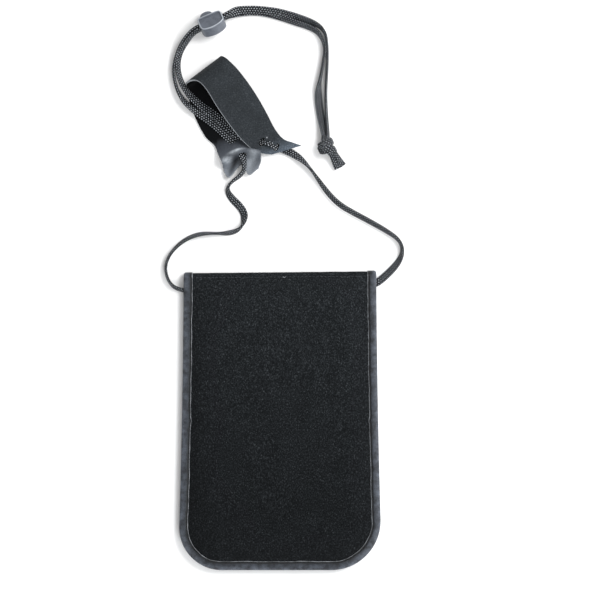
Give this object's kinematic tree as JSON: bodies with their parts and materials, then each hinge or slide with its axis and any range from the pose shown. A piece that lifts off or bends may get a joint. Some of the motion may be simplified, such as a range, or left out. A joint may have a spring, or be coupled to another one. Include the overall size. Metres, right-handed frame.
{
  "type": "neck pouch wallet",
  "caption": "Flat fabric neck wallet with a fold-over flap, slip and zip pockets, bound edges, a flat braided neck cord, a sliding cord lock and a folded neck pad.",
  "frame": {"origin": "the middle of the pouch, on the surface that its back lies on", "axes": "+Z out of the flap, +Y towards the neck cord, +X to the right as seen from the front"},
  "size_m": [0.1603, 0.3777, 0.0149],
  "materials": {
    "panel_fabric": "matt brushed synthetic fabric, near black",
    "lining_fabric": "thin plain-weave nylon, near black",
    "hem_tape": "folded woven tape, dark grey",
    "binding_tape": "ribbed woven edge tape, bluish dark grey with a slight shine",
    "hook_tape": "hook side of hook-and-loop tape",
    "loop_tape": "loop side of hook-and-loop tape",
    "zip_tape": "woven zip tape, black",
    "zip_teeth": "black nylon zip teeth",
    "zip_metal": "dark nickel-plated zip slider and stops",
    "pad_suede": "thin suede-like microfibre, dark grey, with a lighter cut edge",
    "cord_braid": "flat braided polyester cord, black with light grey flecks",
    "lock_plastic": "moulded plastic, bluish grey, satin",
    "spring_steel": "spring steel wire"
  },
  "bodies": {
    "pouch": {"back_panel": "panel_fabric", "zip_lining": "lining_fabric", "slip_pocket": "lining_fabric", "slip_pocket_hem": "hem_tape", "hook_patch": "hook_tape", "body_binding": "binding_tape", "zip_tape_upper": "zip_tape", "zip_tape_lower": "zip_tape", "zip_teeth_upper": "zip_teeth", "zip_teeth_lower": "zip_teeth", "zip_stops": "zip_metal", "fold_spine": "panel_fabric", "binding_turns": "binding_tape", "neck_pad": "pad_suede", "cord_left": "cord_braid", "cord_right": "cord_braid", "knot": "cord_braid", "cord_tails": "cord_braid"},
    "flap": {"flap_panel": "panel_fabric", "flap_pocket": "lining_fabric", "flap_pocket_hem": "hem_tape", "loop_patch": "loop_tape", "flap_binding": "binding_tape"},
    "slider": {"zip_slider": "zip_metal"},
    "pull": {"zip_pull": "zip_metal"},
    "lock": {"lock_body": "lock_plastic", "lock_spring": "spring_steel"},
    "button": {"lock_button": "lock_plastic"}
  },
  "joints": [
    {"name": "flap_fold", "type": "hinge", "parent": "pouch", "child": "flap", "pos_m": [0, 0.1002, 0.00285], "axis": [-1, 0, 0], "range_deg": [0, 150], "deforming": ["fold_spine", "binding_turns"]},
    {"name": "zip_slide", "type": "slide", "parent": "pouch", "child": "slider", "axis": [-1, 0, 0], "range_m": [0, 0.088]},
    {"name": "pull_swing", "type": "hinge", "parent": "slider", "child": "pull", "pos_m": [0.044, 0.062, 0.005], "axis": [0, 0, 1], "range_deg": [-75, 20]},
    {"name": "lock_slide", "type": "slide", "parent": "pouch", "child": "lock", "axis": [0.9262, 0.377, 0], "range_m": [-0.003, 0.003]},
    {"name": "lock_press", "type": "slide", "parent": "lock", "child": "button", "axis": [0.3088, -0.7587, 0.5736], "range_m": [0, 0.0018], "stiffness_N_per_m": 400, "springref_m": -0.002, "deforming": ["lock_spring"]}
  ]
}
